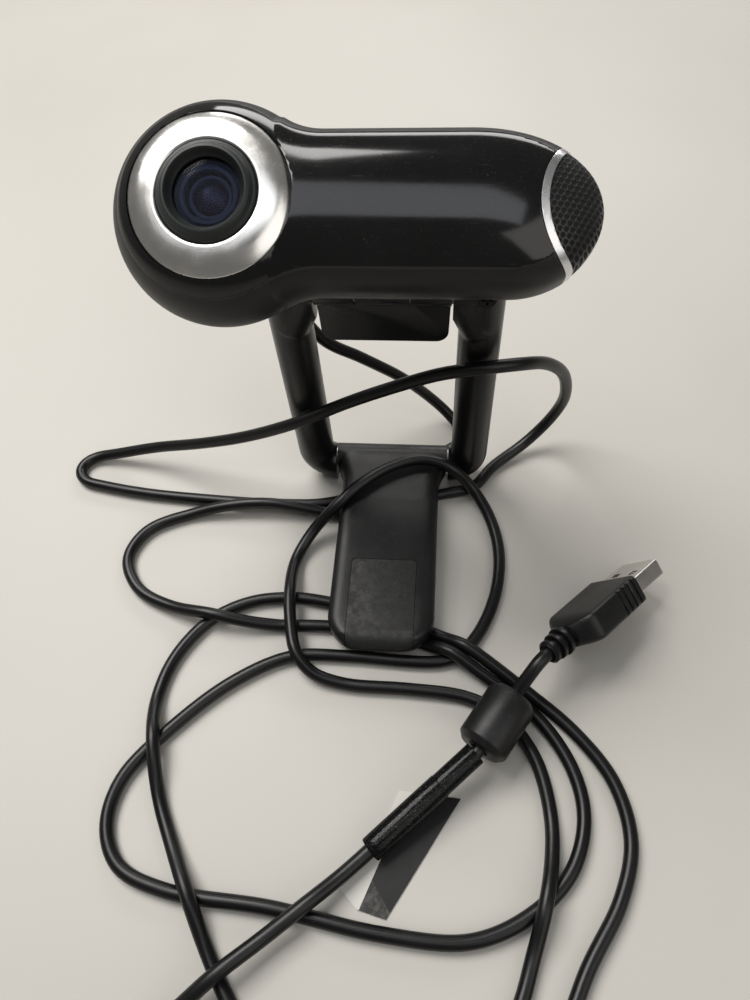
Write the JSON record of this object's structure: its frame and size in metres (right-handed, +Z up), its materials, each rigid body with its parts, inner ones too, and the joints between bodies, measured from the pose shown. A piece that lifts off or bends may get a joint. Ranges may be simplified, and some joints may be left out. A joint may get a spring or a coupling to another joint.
{
  "type": "webcam on clip stand",
  "caption": "Bar-shaped webcam with a round lens end on a two-legged folding clip stand, with a coiled USB lead and its ferrite bead.",
  "frame": {"origin": "under the middle of the webcam and its stand, on the surface they stand on; the free lead isn't counted", "axes": "+X along the bar from the lens end to the microphone end, -Y the way the foot points, +Z up"},
  "size_m": [0.1728, 0.1932, 0.1125],
  "materials": {
    "gloss_black": "moulded, high gloss",
    "satin_black": "moulded, fine satin grain",
    "chrome": "bright, turned",
    "bezel_grey": "fine turned grain",
    "lens_glass": "coated, polished",
    "steel": "plain",
    "screw_black": "black oxide",
    "board": "lacquered laminate",
    "chip": "moulded",
    "cable_amber": "polyimide film",
    "filter_glass": "coated",
    "ferrite": "sintered, dull",
    "rubber": "soft, matt",
    "pad_rubber": "speckled, matt",
    "cord_black": "smooth, slightly glossy",
    "sleeve_clear": "clear tube over a dark print",
    "paper": "bare label",
    "plug_metal": "nickel plated",
    "tongue_white": "moulded",
    "contact": "gold plated"
  },
  "bodies": {
    "stand_legs": {"leg_left": "satin_black", "leg_right": "satin_black", "axle": "steel", "leg_screws": "screw_black", "friction_washers": "steel", "foot_hinge_pins": "steel", "foot_washers": "steel", "cord_drop": "cord_black", "cord_behind": "cord_black", "cord_around": "cord_black", "cord_over": "cord_black", "cord_end": "cord_black", "ferrite_case": "satin_black", "ferrite_core": "ferrite", "cord_sleeve": "sleeve_clear", "cord_label": "paper", "plug_overmould": "satin_black", "plug_strain_relief": "cord_black", "plug_shell": "plug_metal", "plug_tongue": "tongue_white", "plug_contacts": "contact"},
    "camera_head": {"front_cover": "gloss_black", "rear_housing": "satin_black", "lens_ring": "chrome", "lens_bezel": "bezel_grey", "lens_window": "lens_glass", "window_retainer": "satin_black", "autofocus_coil": "satin_black", "ir_filter": "filter_glass", "image_sensor": "chip", "camera_board": "board", "main_board": "board", "board_chips": "chip", "flex_cable": "cable_amber", "inner_lead": "cord_black", "board_screws": "steel", "housing_screws": "screw_black", "microphone": "steel", "microphone_grommet": "rubber", "grille_trim": "chrome", "mic_grille": "screw_black", "cord_gland": "cord_black", "tilt_knuckle": "satin_black"},
    "focus_lens": {"lens_barrel": "satin_black", "front_lens": "lens_glass"},
    "front_lip": {"lip_bracket": "satin_black", "lip_liner": "rubber"},
    "foot": {"foot_paddle": "satin_black", "foot_pad": "pad_rubber"}
  },
  "joints": [
    {"name": "head_tilt", "type": "hinge", "parent": "stand_legs", "child": "camera_head", "pos_m": [0.0046, 0.02064, 0.0752], "axis": [1, 0, 0], "range_deg": [-60, 70], "deforming": ["cord_drop"]},
    {"name": "lip_fold", "type": "hinge", "parent": "camera_head", "child": "front_lip", "pos_m": [0.0046, 0.02064, 0.0752], "axis": [1, 0, 0], "range_deg": [-65, 40]},
    {"name": "foot_swing", "type": "hinge", "parent": "stand_legs", "child": "foot", "pos_m": [0.0046, 0.02383, 0.0076], "axis": [-1, 0, 0], "range_deg": [0, 50], "deforming": ["cord_over"]},
    {"name": "focus_slide", "type": "slide", "parent": "camera_head", "child": "focus_lens", "axis": [0, -0.5592, 0.829], "range_m": [0, 0.0004], "stiffness_N_per_m": 300}
  ]
}
